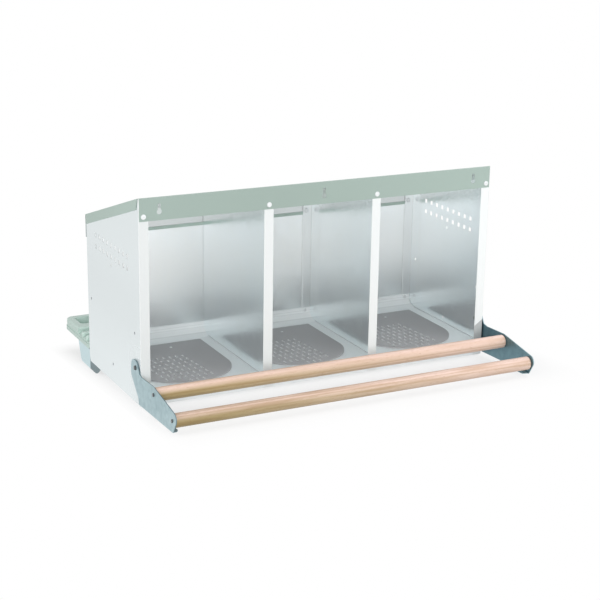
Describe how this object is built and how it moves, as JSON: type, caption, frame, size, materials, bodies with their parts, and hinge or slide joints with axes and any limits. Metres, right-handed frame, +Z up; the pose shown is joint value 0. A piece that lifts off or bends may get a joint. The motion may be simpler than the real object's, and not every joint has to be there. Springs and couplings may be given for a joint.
{
  "type": "chicken nesting box",
  "caption": "Sheet-metal nesting box for hens with open nests under a sloping roof, a fold-up frame of wooden perches in front and a pull-out egg tray behind.",
  "frame": {"origin": "bottom centre of the whole object's box, at the foot of the tray supports", "axes": "+X to the right as seen by a hen facing the nests, +Y to the rear, +Z up"},
  "size_m": [0.9164, 0.7628, 0.4984],
  "materials": {
    "galvanised_sheet": "bright galvanised, satin",
    "galvanised_plate": "matt galvanised",
    "zinc_plate": "bright zinc",
    "green_paint": "satin paint",
    "mat_plastic": "matt moulded",
    "tray_plastic": "satin moulded",
    "beech": "turned, unvarnished"
  },
  "bodies": {
    "nest_box": {"left_side_panel": "galvanised_sheet", "right_side_panel": "galvanised_sheet", "left_divider": "galvanised_sheet", "right_divider": "galvanised_sheet", "back_panel": "galvanised_sheet", "floor_pan": "galvanised_sheet", "roof": "green_paint", "left_nest_mat": "mat_plastic", "middle_nest_mat": "mat_plastic", "right_nest_mat": "mat_plastic", "mat_rivets": "zinc_plate", "fascia_screws": "zinc_plate", "upper_rear_screws": "zinc_plate", "lower_rear_screws": "zinc_plate", "floor_rivets": "zinc_plate", "left_pivot_bolt": "zinc_plate", "right_pivot_bolt": "zinc_plate", "left_pivot_washer": "zinc_plate", "right_pivot_washer": "zinc_plate", "left_pivot_nut": "zinc_plate", "right_pivot_nut": "zinc_plate", "left_tray_support": "galvanised_plate", "right_tray_support": "galvanised_plate"},
    "perch_frame": {"left_perch_bracket": "galvanised_plate", "right_perch_bracket": "galvanised_plate", "inner_perch": "beech", "outer_perch": "beech", "perch_screws": "zinc_plate"},
    "tray": {"egg_tray": "tray_plastic"}
  },
  "joints": [
    {"name": "perch_fold", "type": "hinge", "parent": "nest_box", "child": "perch_frame", "pos_m": [0, -0.14159, 0.109], "axis": [-1, 0, 0], "range_deg": [0, 84]},
    {"name": "tray_pull", "type": "slide", "parent": "nest_box", "child": "tray", "axis": [0, 1, 0], "range_m": [0, 0.15]}
  ]
}
